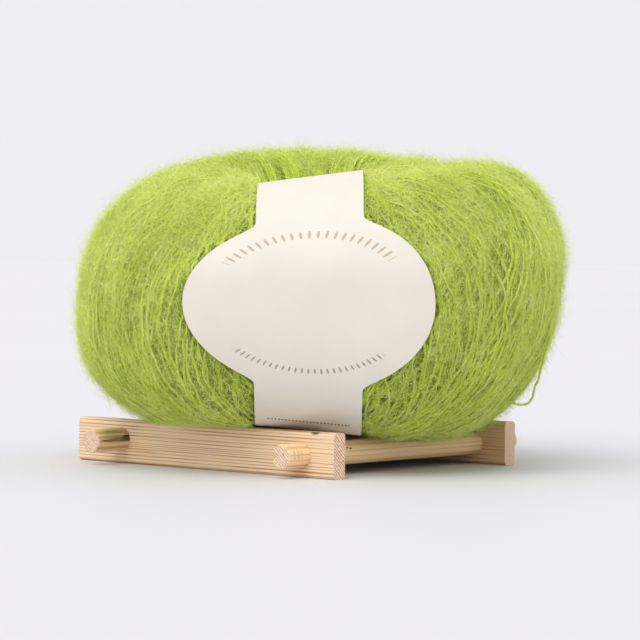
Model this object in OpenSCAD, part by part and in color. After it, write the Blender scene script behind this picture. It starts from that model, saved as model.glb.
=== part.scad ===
// A doughnut ball of brushed yarn with a card ball band, resting on a small
// display stand of two slotted-together rails and two round dowels.
// X runs along the rails, Y along the dowels (pegs stand out towards -Y), Z is up.
// The origin is on the surface that the stand rests on, under the middle of the whole.

/* [Stand] */
// Length of each rail
rail_length = 118; // [100:1:140]
// Height of each rail, standing on its edge
rail_height = 15; // [13:0.5:20]
// Thickness of each rail
rail_thickness = 5.5; // [4:0.5:8]
// Radius of the rails' long edges
rail_edge_radius = 1.4; // [0.4:0.2:1.8]
// Depth of the stand over the outer faces of both rails
stand_depth = 95; // [75:1:115]

/* [Dowels] */
// Diameter of both dowels
dowel_diameter = 8; // [5:0.5:9]
// Length of both dowels
dowel_length = 120; // [115:1:150]
// Chamfer round each dowel end
dowel_chamfer = 0.4; // [0.2:0.1:1]
// Radial clearance of a dowel in its hole
dowel_clearance = 0.05; // [0.02:0.01:0.1]
// Left dowel's centre, from the rails' left end
left_dowel_inset = 21; // [12:0.5:35]
// Left dowel's centre above the rails' underside
left_dowel_height = 8.2; // [6:0.1:9]
// How far the left dowel stands out at the front
left_peg_length = 15; // [4:0.5:20]
// Right dowel's centre, from the rails' right end
right_dowel_inset = 14; // [10:0.5:35]
// Right dowel's centre above the rails' underside
right_dowel_height = 7.2; // [6:0.1:9]
// How far the right dowel stands out at the front
right_peg_length = 10.5; // [4:0.5:20]

/* [Yarn ball] */
// Width of the ball, along the card's face
ball_width = 165; // [140:1:190]
// Depth of the ball, through the card's face
ball_depth = 145; // [120:1:170]
// Height of the ball, from its belly to its crown
ball_height = 99; // [80:1:115]
// How far the belly sags below the rails' tops
belly_sag = 5.5; // [1:0.1:6.5]
// Turn of the ball on the stand, from the rails' direction
ball_turn = 41.5; // [0:0.5:60]
// Middle of the ball along the rails, from the stand's middle
ball_offset_x = 11; // [-20:0.5:20]
// Middle of the ball along the dowels, from the stand's middle
ball_offset_y = -0.5; // [-20:0.5:20]
// Distance of the crown from the ball's vertical axis
crown_radius = 34; // [26:1:40]
// How much longer the slit is than the band in it needs
slit_spare = 3.8; // [2:0.2:8]
// Width of the slit through the ball's centre
slit_width = 5; // [4:0.5:8]
// How far the band pulls the yarn down at the top
grip_drop = 7.5; // [2:0.5:14]
// How far the band pulls the yarn up at the belly
grip_lift = 5; // [1:0.5:8]
// How far the band pulls the yarn in at the front
grip_inset = 3.5; // [0:0.5:8]
// Clearance between the yarn and the stand
rest_clearance = 0.3; // [0.2:0.05:1]

/* [Core winding] */
// Wall of the core winding round the slit
core_wall = 9; // [4:0.5:12]
// Height of the core winding
core_height = 52; // [30:1:64]

/* [Ball band] */
// Middle of the band, from the ball's middle
band_offset = -3.6; // [-5:0.2:5]
// Width of the band's strip
strip_width = 35; // [25:0.5:37]
// Width of the oval card panel
oval_width = 81; // [60:1:90]
// Height of the oval card panel, along the card
oval_height = 57; // [40:1:64]
// Height of the oval's middle above the table
oval_middle = 57; // [50:0.5:62]
// Thickness of the card
card_thickness = 0.4; // [0.3:0.05:0.8]
// Clearance between the card and the yarn
card_clearance = 0.2; // [0.1:0.05:0.5]
// Share by which the band's top rises for each mm to the right
top_flare = 0.0034; // [0:0.0002:0.005]
// Share by which the band's bottom falls for each mm to the right
bottom_flare = 0.002; // [0:0.0002:0.004]
// Length of the glued overlap inside the slit
overlap_length = 12; // [6:1:20]

/* [Loose loop] */
// Diameter of the strand that has sprung out of the ball
loop_diameter = 0.8; // [0.6:0.1:1.2]

/* [Hidden] */

$fn = 64;
overcut = 1;

// Stand, about its own middle
front_face = -stand_depth / 2;
rear_face = stand_depth / 2;
left_dowel_x = -rail_length / 2 + left_dowel_inset;
right_dowel_x = rail_length / 2 - right_dowel_inset;
dowel_radius = dowel_diameter / 2;

// Ball profile: the slit, the heights of belly and crown, and the super-ellipses' powers
slit_length = strip_width + 2 * abs(band_offset) + slit_spare;
belly_z = rail_height - belly_sag;
middle_z = belly_z + ball_height / 2;
plan_power = 2.25;
slit_power = 8;
hole_power = 2.6;
// The right side is fullest near the top, the left side near the middle
equator_rise = 4;
equator_tilt = 8;
upper_roundness = 1.98;
upper_tilt = 0.22;
lower_roundness = 2.75;
lower_tilt = 0.15;
rear_rise = 1.8;
left_rise = 0.4;
// Reach of the band's grip either side of its middle, and how soon it fades to the rear
grip_reach = 30;
grip_power = 4;
grip_fade = 16;
grip_end = 4;
around_steps = 72;
across_steps = 32;
core_power = 3;
core_steps = 48;

function super_round(angle, p) =
    [cos(angle), sin(angle)] / pow(pow(abs(cos(angle)), p) + pow(abs(sin(angle)), p), 1 / p);
function plan_radius(turn, half_u, half_w, p) =
    pow(pow(abs(cos(turn)) / half_u, p) + pow(abs(sin(turn)) / half_w, p), -1 / p);
function equator_z(turn) = middle_z + equator_rise + equator_tilt * cos(turn);
function crown_z(turn) =
    belly_z + ball_height - rear_rise * (1 - sin(turn)) - left_rise * (1 + cos(turn));
function upper_power(turn) = upper_roundness - upper_tilt * cos(turn);
function lower_power(turn) = lower_roundness - lower_tilt * cos(turn);
function smooth(t) = let (c = max(0, min(1, t))) c * c * (3 - 2 * c);
function grip(u, w) =
    smooth((grip_end - w) / grip_fade) / (1 + pow(abs(u - band_offset) / grip_reach, grip_power));

// A point of the unbanded ball: turn goes round the vertical axis, lift goes round the
// ring's section from its outside (0) over the crown (90) to the slit (180) and the belly
function round_point(turn, lift) =
    let (outer = plan_radius(turn, ball_width / 2, ball_depth / 2, plan_power),
         inner = plan_radius(turn, slit_length / 2, slit_width / 2, slit_power),
         up = sin(lift) >= 0,
         outside = cos(lift) >= 0,
         p = outside ? (up ? upper_power(turn) : lower_power(turn)) : hole_power,
         section = super_round(lift, p),
         r = crown_radius + section[0] * (outside ? outer - crown_radius : crown_radius - inner),
         rise = up ? crown_z(turn) - equator_z(turn) : equator_z(turn) - belly_z)
    [r * cos(turn), r * sin(turn), equator_z(turn) + section[1] * rise];

// The band grips the ball's front half: it draws the top down, the belly up and the front in
function gripped(p) =
    let (g = grip(p[0], p[1]), up = p[2] - middle_z)
    [p[0],
     p[1] + grip_inset * g * smooth(-p[1] / (ball_depth / 2)),
     p[2] - (up > 0 ? grip_drop : grip_lift) * g * up / (ball_height / 2)];

function skin_point(turn, lift) = gripped(round_point(turn, lift));

skin_points = [for (i = [0:around_steps - 1], j = [0:across_steps - 1])
    skin_point(360 * i / around_steps, 360 * j / across_steps)];

// Band: a closed line round the front half, in the plane through the ball's axis.
// It starts in the slit at mid height, goes over the crown, down the front and back below.
band_steps = 96;
band_lift = [for (i = [0:band_steps - 1]) 180 - 360 * i / band_steps];
band_line = [for (a = band_lift) let (p = skin_point(-90, a)) [p[1], p[2]]];
function line_normal(i) =
    let (a = band_line[(i + band_steps - 1) % band_steps],
         b = band_line[(i + 1) % band_steps],
         d = b - a)
    [d[1], -d[0]] / norm(d);
function band_run(i) =
    i == 0 ? 0 : band_run(i - 1) + norm(band_line[i] - band_line[i - 1]);
band_runs = [for (i = [0:band_steps - 1]) band_run(i)];
// The front stretch from the crown down to the belly tells where the oval's middle lies
oval_run = lookup(-oval_middle, [for (i = [band_steps / 4:3 * band_steps / 4])
    [-band_line[i][1], band_runs[i]]]);
// Half width of the card at each station: the strip, or the oval where that is wider
corner_blend = 6;
function oval_half(run) =
    let (t = (run - oval_run) / (oval_height / 2))
    abs(t) >= 1 ? 0 : oval_width / 2 * sqrt(1 - t * t);
function card_half(run) =
    let (a = strip_width / 2, b = oval_half(run))
    pow(pow(a, corner_blend) + pow(b, corner_blend), 1 / corner_blend);
function card_point(i, side, out, margin) =
    let (n = line_normal(i), p = band_line[i] + n * out,
         u = side * (card_half(band_runs[i]) + margin), up = p[1] - middle_z)
    [u + band_offset, p[0], middle_z + up * (1 + (up > 0 ? top_flare : bottom_flare) * u)];
card_inner = card_clearance;
card_outer = card_clearance + card_thickness;
// The yarn keeps clear of the card as far out as this: outside the ball, and in the slit
pocket_reach = 9;
slit_reach = 3;
pocket_margin = 0.3;
function pocket_depth(i) =
    slit_reach + (pocket_reach - slit_reach) * smooth(-band_line[i][0] / crown_radius);
function band_loop(i, inner, outer, margin) =
    [card_point(i, 1, inner, margin), card_point(i, -1, inner, margin),
     card_point(i, -1, outer, margin), card_point(i, 1, outer, margin)];
card_points = [for (i = [0:band_steps - 1]) each band_loop(i, card_inner, card_outer, 0)];
pocket_points = [for (i = [0:band_steps - 1])
    each band_loop(i, 0, pocket_depth(i), pocket_margin)];
// Frame: the ball's own u (along the card), w (through the card) become X and Y
function placed(p) =
    [p[0] * cos(ball_turn) - p[1] * sin(ball_turn) + ball_offset_x,
     p[0] * sin(ball_turn) + p[1] * cos(ball_turn) + ball_offset_y, p[2]];
extremes = [for (p = concat(skin_points, card_points)) placed(p)];
stand_xs = [-rail_length / 2, rail_length / 2];
stand_ys = [front_face - max(left_peg_length, right_peg_length),
            front_face - min(left_peg_length, right_peg_length) + dowel_length];
xs = concat([for (p = extremes) p[0]], stand_xs);
ys = concat([for (p = extremes) p[1]], stand_ys);
base_centre = [(min(xs) + max(xs)) / 2, (min(ys) + max(ys)) / 2, 0];

// Route of the sprung loop, from the ball's right side down and back in below
loop_route = [
    [71.5, 37, 45], [73, 34.5, 43.5], [74, 32, 42], [75, 30, 40], [75, 29, 38.5],
    [75, 28.5, 36.5], [74.5, 28, 34.5], [74, 28, 32.5], [73, 28.5, 30.5], [72, 28.5, 29],
    [71.5, 28.5, 27.5], [71, 28.5, 25.5], [70.5, 28.5, 24.5], [69.5, 28, 23], [68.5, 27, 22.5],
    [67.5, 25.5, 22.5], [66.5, 23.5, 23], [65.5, 22.5, 23.5], [63.5, 22, 24]];
loop_sides = 8;

// A closed tube of square-ended rings swept along a route
function unit(v) = v / norm(v);
module swept_tube(route, radius, sides) {
    last = len(route) - 1;
    rings = [for (i = [0:last])
        let (d = unit(route[min(i + 1, last)] - route[max(i - 1, 0)]),
             a = unit(cross(d, [0.5, -0.8, 0.1])), b = cross(d, a))
        each [for (k = [0:sides - 1])
            route[i] + radius * (a * cos(360 * k / sides) + b * sin(360 * k / sides))]];
    walls = [for (i = [0:last - 1], k = [0:sides - 1])
        let (n = (k + 1) % sides)
        each [[i * sides + k, (i + 1) * sides + k, (i + 1) * sides + n],
              [i * sides + k, (i + 1) * sides + n, i * sides + n]]];
    start = [for (k = [0:sides - 1]) k];
    end = [for (k = [sides - 1:-1:0]) last * sides + k];
    polyhedron(rings, concat(walls, [start, end]));
}

// A closed ring of loops: each loop has count points, and the last meets the first
module ring_of_loops(points, count) {
    loops = len(points) / count;
    faces = [for (i = [0:loops - 1], j = [0:count - 1])
        let (a = i * count + j, b = i * count + (j + 1) % count,
             c = (i + 1) % loops * count + (j + 1) % count, d = (i + 1) % loops * count + j)
        each [[a, b, c], [a, c, d]]];
    polyhedron(points, faces);
}

module in_frame() {
    translate(-base_centre) children();
}

module on_ball() {
    in_frame() translate([ball_offset_x, ball_offset_y, 0]) rotate(ball_turn) children();
}

module rail_section() {
    r = rail_edge_radius;
    half = rail_thickness / 2;
    for (y = [-half + r, half - r], z = [r, rail_height - r])
        translate([y, z]) circle(r);
    translate([-half, r]) square([rail_thickness, rail_height - 2 * r]);
    translate([-half + r, 0]) square([rail_thickness - 2 * r, rail_height]);
}

module rail_bar(side) {
    y = side * (stand_depth - rail_thickness) / 2;
    translate([-rail_length / 2, y, 0]) rotate([90, 0, 90])
        linear_extrude(rail_length) rail_section();
}

module along_y(x, z, front, length, radius) {
    translate([x, front, z]) rotate([-90, 0, 0]) cylinder(r = radius, h = length);
}

module dowel_holes() {
    start = front_face - overcut;
    through = stand_depth + 2 * overcut;
    bore = dowel_radius + dowel_clearance;
    along_y(left_dowel_x, left_dowel_height, start, through, bore);
    along_y(right_dowel_x, right_dowel_height, start, through, bore);
}

module front_rail() {
    color("#d8b48c") in_frame() difference() {
        rail_bar(-1);
        dowel_holes();
    }
}

module rear_rail() {
    color("#c9a67c") in_frame() difference() {
        rail_bar(1);
        dowel_holes();
    }
}

module dowel(x, z, peg_length) {
    c = dowel_chamfer;
    translate([x, front_face - peg_length, z]) rotate([-90, 0, 0]) {
        cylinder(r1 = dowel_radius - c, r2 = dowel_radius, h = c);
        translate([0, 0, c]) cylinder(r = dowel_radius, h = dowel_length - 2 * c);
        translate([0, 0, dowel_length - c]) cylinder(r1 = dowel_radius, r2 = dowel_radius - c, h = c);
    }
}

module left_dowel() {
    color("#cdb083") in_frame() dowel(left_dowel_x, left_dowel_height, left_peg_length);
}

module right_dowel() {
    color("#d9ba90") in_frame() dowel(right_dowel_x, right_dowel_height, right_peg_length);
}

// The space that the first wraps fill, round the slit and a wall's thickness beyond it
module core_block() {
    half_u = slit_length / 2 + core_wall;
    half_w = slit_width / 2 + core_wall;
    translate([0, 0, middle_z - core_height / 2]) linear_extrude(core_height)
        polygon([for (i = [0:core_steps - 1])
            let (turn = 360 * i / core_steps, r = plan_radius(turn, half_u, half_w, core_power))
            [r * cos(turn), r * sin(turn)]]);
}

module core_winding() {
    color("#a3bf42") on_ball() difference() {
        intersection() {
            ring_of_loops(skin_points, across_steps);
            core_block();
        }
        band_pocket();
    }
}

module band_pocket() {
    ring_of_loops(pocket_points, 4);
}

// What the yarn must keep out of: the dowels, and each rail with the space outside it.
// The belly sags between the rails only.
module stand_prints() {
    length = rail_length + 2 * rest_clearance;
    inside = stand_depth / 2 - rail_thickness - rest_clearance;
    for (turn = [0, 180]) rotate(turn)
        translate([-length / 2, inside, 0]) cube([length, ball_depth, rail_height + rest_clearance]);
    r = dowel_radius + rest_clearance;
    along_y(left_dowel_x, left_dowel_height, front_face, stand_depth, r);
    along_y(right_dowel_x, right_dowel_height, front_face, stand_depth, r);
}

module outer_winding() {
    color("#b4cf55") difference() {
        on_ball() difference() {
            ring_of_loops(skin_points, across_steps);
            core_block();
            band_pocket();
        }
        in_frame() stand_prints();
    }
}

module label_band() {
    color("#f2ede0") on_ball() ring_of_loops(card_points, 4);
}

module band_overlap() {
    throat = band_line[0];
    color("#ebe4d3") on_ball()
        translate([band_offset - strip_width / 2, throat[0] + card_outer,
                   throat[1] - overlap_length / 2])
            cube([strip_width, card_thickness, overlap_length]);
}

module loose_loop() {
    color("#9dbb3c") swept_tube(loop_route, loop_diameter / 2, loop_sides);
}

front_rail();
rear_rail();
left_dowel();
right_dowel();
core_winding();
outer_winding();
label_band();
band_overlap();
loose_loop();
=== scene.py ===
import math

import bpy
import numpy as np
from mathutils import Matrix, Vector


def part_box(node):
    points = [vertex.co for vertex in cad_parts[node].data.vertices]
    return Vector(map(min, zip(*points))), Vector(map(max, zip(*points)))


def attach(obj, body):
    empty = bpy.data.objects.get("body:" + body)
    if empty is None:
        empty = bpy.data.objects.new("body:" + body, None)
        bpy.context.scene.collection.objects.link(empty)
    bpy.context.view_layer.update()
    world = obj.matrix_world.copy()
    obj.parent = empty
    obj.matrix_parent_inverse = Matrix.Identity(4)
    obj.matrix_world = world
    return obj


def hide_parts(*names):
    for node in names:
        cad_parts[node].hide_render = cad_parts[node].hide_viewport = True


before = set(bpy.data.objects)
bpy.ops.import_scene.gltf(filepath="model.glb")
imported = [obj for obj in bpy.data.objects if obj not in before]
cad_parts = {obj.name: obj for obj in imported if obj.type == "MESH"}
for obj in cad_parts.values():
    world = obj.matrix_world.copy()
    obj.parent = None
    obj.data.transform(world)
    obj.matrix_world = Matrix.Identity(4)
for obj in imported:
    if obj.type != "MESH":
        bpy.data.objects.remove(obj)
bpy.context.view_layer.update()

# The stand's place: its middle lies between the outer faces of the two rails, and the ball
# sits a little to the right of it. All of the scene is laid out from this point.
front_low, front_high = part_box("front_rail")
rear_low, rear_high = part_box("rear_rail")
stand_middle = np.array([(front_low[0] + front_high[0]) / 2, (front_low[1] + rear_high[1]) / 2, 0])

# Camera: a long lens at table height, turned towards the corner where the ball's card faces.
camera_turn = math.radians(41.5)
camera_rise = math.radians(1.58)
camera_roll = math.radians(0.47)
camera_back = Vector((math.sin(camera_turn) * math.cos(camera_rise),
                      -math.cos(camera_turn) * math.cos(camera_rise), math.sin(camera_rise)))
level_right = Vector((math.cos(camera_turn), math.sin(camera_turn), 0))
level_up = camera_back.cross(level_right)
camera_right = level_right * math.cos(camera_roll) + level_up * math.sin(camera_roll)
camera_up = level_up * math.cos(camera_roll) - level_right * math.sin(camera_roll)
look_at = Vector(stand_middle) + level_right * 0.0079 + Vector((0, 0, 0.0494))
camera = bpy.data.objects.new("camera", bpy.data.cameras.new("camera"))
camera.data.lens = 162.2
camera.data.clip_start = 0.05
turn_matrix = Matrix((camera_right, camera_up, camera_back)).transposed().to_4x4()
camera.matrix_world = Matrix.Translation(look_at + camera_back) @ turn_matrix
bpy.context.collection.objects.link(camera)
bpy.context.scene.camera = camera

# Rails: two softwood strips with their long edges eased, sawn square at the ends. Growth lines
# run along each strip and show again as bands across its end grain.


def new_material(name):
    material = bpy.data.materials.new(name)
    material.use_nodes = True
    tree = material.node_tree
    return material, tree, tree.nodes["Principled BSDF"]


def add(tree, kind, **inputs):
    node = tree.nodes.new("ShaderNode" + kind)
    for key, value in inputs.items():
        socket = node.inputs[key]
        if isinstance(value, bpy.types.NodeSocket):
            tree.links.new(value, socket)
        else:
            socket.default_value = value
    return node


def maths(tree, operation, a, b=0.0, clamp=False):
    node = tree.nodes.new("ShaderNodeMath")
    node.operation = operation
    node.use_clamp = clamp
    for socket, value in zip(node.inputs, (a, b)):
        if isinstance(value, bpy.types.NodeSocket):
            tree.links.new(value, socket)
        else:
            socket.default_value = value
    return node.outputs[0]


def stretched(tree, scale):
    """The piece's own coordinates, drawn out along an axis by a low scale."""
    place = add(tree, "TexCoord").outputs["Object"]
    return add(tree, "Mapping", Vector=place, Scale=scale).outputs[0]


def noise(tree, vector, scale=1.0, detail=2.0, roughness=0.5):
    return add(tree, "TexNoise", Vector=vector, Scale=scale, Detail=detail,
               Roughness=roughness).outputs[0]


def ramp(tree, value, stops):
    node = add(tree, "ValToRGB", Fac=value)
    elements = node.color_ramp.elements
    while len(elements) < len(stops):
        elements.new(0.5)
    for element, (place, colour) in zip(elements, stops):
        element.position = place
        element.color = (*colour, 1)
    return node.outputs[0]


def blend_colours(tree, amount, a, b):
    node = tree.nodes.new("ShaderNodeMix")
    node.data_type = "RGBA"
    for key, value in (("Factor_Float", amount), ("A_Color", a), ("B_Color", b)):
        socket = next(s for s in node.inputs if s.identifier == key)
        if isinstance(value, bpy.types.NodeSocket):
            tree.links.new(value, socket)
        else:
            socket.default_value = (*value, 1)
    return next(s for s in node.outputs if s.identifier == "Result_Color")


def vector_maths(tree, operation, a, b):
    node = tree.nodes.new("ShaderNodeVectorMath")
    node.operation = operation
    for socket, value in zip(node.inputs, (a, b)):
        if isinstance(value, bpy.types.NodeSocket):
            tree.links.new(value, socket)
        else:
            socket.default_value = value
    return node.outputs[0]


def new_group(name, inputs, outputs):
    """An empty group with named sockets, and its two ends."""
    group = bpy.data.node_groups.new(name, "ShaderNodeTree")
    for side, sockets in (("INPUT", inputs), ("OUTPUT", outputs)):
        for label, kind in sockets:
            group.interface.new_socket(label, in_out=side, socket_type="NodeSocket" + kind)
    return group, group.nodes.new("NodeGroupInput"), group.nodes.new("NodeGroupOutput")


def placed(tree, group, **values):
    """The outputs of a group that is placed in a material with its own values."""
    node = tree.nodes.new("ShaderNodeGroup")
    node.node_tree = group
    for label, value in values.items():
        socket = node.inputs[label]
        socket.default_value = (*value, 1) if socket.type == "RGBA" else value
    return node.outputs


def growth_lines_group():
    """Growth lines that wander along the piece, fine fibres between them, and cloudy stains."""
    group, inside, outside = new_group(
        "growth_lines",
        [("Along", "Vector"), ("Across", "Vector"), ("Pale", "Color"), ("Line", "Color"), ("Stain", "Color")],
        [("Colour", "Color"), ("Height", "Float"), ("Streak", "Float")])
    place = add(group, "TexCoord").outputs["Object"]
    along, across = inside.outputs["Along"], inside.outputs["Across"]

    def wander(share, reach):
        scale = vector_maths(group, "MULTIPLY", along, (share, share, share))
        drift = noise(group, vector_maths(group, "MULTIPLY", place, scale), 1, 1)
        return maths(group, "MULTIPLY", drift, reach)

    lean = add(group, "CombineXYZ", Z=maths(group, "ADD", wander(0.06, 0.004), wander(1.3, 0.0024)))
    bent = vector_maths(group, "MULTIPLY", vector_maths(group, "ADD", place, lean.outputs[0]), along)
    years = add(group, "TexWave", Vector=bent, Scale=1, Distortion=0)
    years.bands_direction = "Z"
    bands = ramp(group, years.outputs["Fac"],
                 [(0.55, (0, 0, 0)), (0.84, (0.45, 0.45, 0.45)), (0.98, (1, 1, 1))])
    fading = noise(group, stretched(group, (30, 30, 260)), 1, 2)
    fading = maths(group, "MULTIPLY", maths(group, "SUBTRACT", fading, 0.22), 2.4, True)
    year_lines = maths(group, "MULTIPLY", bands, fading)
    fibre_place = vector_maths(group, "MULTIPLY", place, across)
    fine = noise(group, fibre_place, 1, 3, 0.6)
    fibre = maths(group, "MULTIPLY", maths(group, "SUBTRACT", fine, 0.4), 1.6, True)
    strength = maths(group, "ADD", maths(group, "MULTIPLY", year_lines, 0.95),
                     maths(group, "MULTIPLY", fibre, 0.28), True)
    base = blend_colours(group, strength, inside.outputs["Pale"], inside.outputs["Line"])
    cloud = noise(group, stretched(group, (25, 25, 25)), 1, 2)
    stain = maths(group, "MULTIPLY", maths(group, "SUBTRACT", cloud, 0.5), 1.4, True)
    whole = blend_colours(group, stain, base, inside.outputs["Stain"])
    streak = maths(group, "SUBTRACT", noise(group, fibre_place, 1, 2), 0.36)
    group.links.new(whole, outside.inputs["Colour"])
    group.links.new(maths(group, "SUBTRACT", fine, maths(group, "MULTIPLY", year_lines, 0.4)),
                    outside.inputs["Height"])
    group.links.new(maths(group, "MULTIPLY", streak, 4.0, True), outside.inputs["Streak"])
    return group


def end_grain_group():
    """Sawn end grain: growth bands cut across, speckled with open pores."""
    group, inside, outside = new_group("end_grain", [("Line", "Color"), ("Pale", "Color")],
                                       [("Colour", "Color")])
    rings = add(group, "TexWave", Vector=stretched(group, (520, 520, 520)), Scale=1, Distortion=4, Detail=2)
    rings.bands_direction = "DIAGONAL"
    pores = noise(group, stretched(group, (3800, 3800, 3800)), 1, 1)
    speckle = maths(group, "ADD", maths(group, "MULTIPLY", rings.outputs["Fac"], 0.35),
                    maths(group, "MULTIPLY", pores, 0.8))
    paleness = ramp(group, speckle, [(0.40, (0, 0, 0)), (0.68, (1, 1, 1))])
    group.links.new(blend_colours(group, paleness, inside.outputs["Line"], inside.outputs["Pale"]),
                    outside.inputs["Colour"])
    return group


def soft_spot_group():
    """A soft spot: 1 at its centre and 0 beyond its reach; a low squeeze draws it out."""
    group, inside, outside = new_group(
        "soft_spot", [("Centre", "Vector"), ("Reach", "Float"), ("Squeeze", "Vector")], [("Mask", "Float")])
    away = vector_maths(group, "SUBTRACT", add(group, "TexCoord").outputs["Object"], inside.outputs["Centre"])
    far = group.nodes.new("ShaderNodeVectorMath")
    far.operation = "LENGTH"
    group.links.new(vector_maths(group, "MULTIPLY", away, inside.outputs["Squeeze"]), far.inputs[0])
    reach = inside.outputs["Reach"]
    group.links.new(maths(group, "MULTIPLY", maths(group, "SUBTRACT", reach, far.outputs["Value"]),
                          maths(group, "DIVIDE", 1.6, reach), True), outside.inputs["Mask"])
    return group


growth_lines = growth_lines_group()
end_grain = end_grain_group()
soft_spot = soft_spot_group()
widest_pore = 0.0015


def wood_material(name, along, across, pale, line, stain, spots, end_axis, end_pale, end_line):
    """Wood with end grain on the faces square to end_axis. Marks wider than a pore follow its fibres."""
    material, tree, shader = new_material(name)
    grain = placed(tree, growth_lines, Along=along, Across=across, Pale=pale, Line=line, Stain=stain)
    face = add(tree, "SeparateXYZ", Vector=add(tree, "NewGeometry").outputs["Normal"])
    end = maths(tree, "GREATER_THAN", maths(tree, "ABSOLUTE", face.outputs[end_axis]), 0.72)
    end_colour = placed(tree, end_grain, Line=end_line, Pale=end_pale)["Colour"]
    colour = blend_colours(tree, end, grain["Colour"], end_colour)
    for centre, reach, squeeze, paint in spots:
        spot = placed(tree, soft_spot, Centre=centre, Reach=reach, Squeeze=squeeze)["Mask"]
        if reach > widest_pore:
            spot = maths(tree, "MULTIPLY", spot, grain["Streak"])
        colour = blend_colours(tree, spot, colour, paint)
    tree.links.new(colour, shader.inputs["Base Color"])
    relief = add(tree, "Bump", Height=grain["Height"], Strength=0.35, Distance=0.0002)
    tree.links.new(relief.outputs[0], shader.inputs["Normal"])
    rough = maths(tree, "ADD", maths(tree, "MULTIPLY", grain["Height"], 0.15), 0.55)
    tree.links.new(rough, shader.inputs["Roughness"])
    shader.inputs["Specular IOR Level"].default_value = 0.35
    return material


rail_pale = (0.94, 0.70, 0.46)
rail_line = (0.42, 0.19, 0.075)
rail_stain = (0.80, 0.57, 0.35)
rail_end_pale = (0.92, 0.70, 0.50)
rail_end_line = (0.52, 0.29, 0.16)
nick = ((front_high[0] - 0.0085, front_low[1] + 0.0006, front_high[2] - 0.0003), 0.0011,
        (0.45, 1, 1.2), (0.10, 0.06, 0.035))
smear = ((front_low[0] + 0.034, front_low[1], 0.0035), 0.0035, (0.4, 1, 1.8), (0.68, 0.44, 0.25))
front_wood = wood_material("front_rail_wood", (3, 90, 320), (30, 1500, 2600), rail_pale, rail_line,
                           rail_stain, [nick, smear], 0, rail_end_pale, rail_end_line)
# The rear rail's wood is a darker copy of the front rail's: painted shade for the rail under the ball.
rear_wood_painted_shade = wood_material("rear_rail_wood_painted_shade", (3, 90, 300), (30, 1500, 2600), (0.80, 0.52, 0.31),
                          (0.42, 0.25, 0.11), (0.60, 0.45, 0.27), [], 0, rail_end_pale, rail_end_line)
for node, material in (("front_rail", front_wood), ("rear_rail", rear_wood_painted_shade)):
    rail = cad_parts[node]
    rail.data.materials.clear()
    rail.data.materials.append(material)

# Dowels: two lengths of 8 mm beech-like round, sawn off and pushed through both rails. The left
# peg has split from its end into the hole, and the right one's end is chipped and has a pore.
dowel_sides = 120


def make_mesh(name, points, quads, triangles=(), bake_map=None):
    mesh = bpy.data.meshes.new(name)
    corners = np.asarray(quads, np.int32).ravel()
    starts = np.arange(len(quads), dtype=np.int32) * 4
    if len(triangles):
        extra = np.asarray(triangles, np.int32)
        starts = np.concatenate([starts, len(corners) + np.arange(len(extra), dtype=np.int32) * 3])
        corners = np.concatenate([corners, extra.ravel()])
    mesh.vertices.add(len(points))
    mesh.vertices.foreach_set("co", np.asarray(points, np.float32).ravel())
    mesh.loops.add(len(corners))
    mesh.loops.foreach_set("vertex_index", corners)
    mesh.polygons.add(len(starts))
    mesh.polygons.foreach_set("loop_start", starts)
    mesh.update(calc_edges=True)
    mesh.shade_smooth()
    if bake_map is not None:
        layer = mesh.uv_layers.new(name="OFBake")
        layer.data.foreach_set("uv", np.asarray(bake_map, np.float32)[corners].ravel())
    piece = bpy.data.objects.new(name, mesh)
    bpy.context.collection.objects.link(piece)
    return piece


def dowel_piece(name, node, shape):
    low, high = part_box(node)
    axis_x, axis_z = (low[0] + high[0]) / 2, (low[2] + high[2]) / 2
    radius = (high[0] - low[0]) / 2
    fine = np.arange(0, 0.016, 0.0003)
    coarse = np.linspace(0.016, high[1] - low[1] - 0.0012, 44)
    rear = high[1] - low[1] - np.array([0.0008, 0.0004, 0.0002, 0])
    y = np.concatenate([fine, coarse, rear])
    size = np.full(len(y), radius)
    size[:3] -= np.array([0.0003, 0.0001, 0.00003])
    size[-3:] -= np.array([0.00005, 0.00016, 0.0004])
    angle = np.arange(dowel_sides) * 2 * np.pi / dowel_sides
    y, angle = np.meshgrid(y, angle, indexing="ij")
    size = np.broadcast_to(size[:, None], y.shape)
    inner = np.array([0.0035, 0.003, 0.0024, 0.0016, 0.0008]) / 0.004 * radius
    face_angle = np.broadcast_to(angle[0], (len(inner), dowel_sides))
    face_size = np.broadcast_to(inner[:, None], face_angle.shape)
    angle = np.concatenate([face_angle[::-1], angle, face_angle])
    size = np.concatenate([face_size[::-1], size, face_size])
    y = np.concatenate([np.zeros_like(face_size), y, np.full_like(face_size, high[1] - low[1])])
    size, y = shape(angle, size, y, radius)
    points = np.stack([axis_x + size * np.cos(angle), low[1] + y, axis_z + size * np.sin(angle)], -1)
    rows = len(points)
    i, j = np.meshgrid(np.arange(rows - 1), np.arange(dowel_sides), indexing="ij")
    k = (j + 1) % dowel_sides
    quads = np.stack([i * dowel_sides + j, i * dowel_sides + k,
                      (i + 1) * dowel_sides + k, (i + 1) * dowel_sides + j], -1).reshape(-1, 4)
    points = points.reshape(-1, 3)
    centres = np.array([points[:dowel_sides].mean(0), points[-dowel_sides:].mean(0)])
    j = np.arange(dowel_sides)
    k = (j + 1) % dowel_sides
    front_fan = np.stack([np.full(dowel_sides, len(points)), k, j], -1)
    start = (rows - 1) * dowel_sides
    rear_fan = np.stack([np.full(dowel_sides, len(points) + 1), start + j, start + k], -1)
    piece = make_mesh(name, np.concatenate([points, centres]), quads[:, ::-1],
                      np.concatenate([front_fan, rear_fan])[:, ::-1])
    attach(piece, node)
    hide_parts(node)
    return piece


def rough_end(angle, size, radius, depth):
    """Saw marks and torn fibres on a sawn end."""
    across = size * np.cos(angle) / radius
    upright = size * np.sin(angle) / radius
    return depth * (np.sin(9 * across + 2 * np.sin(5 * upright)) + 0.6 * np.sin(23 * upright + 3 * across))


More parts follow.
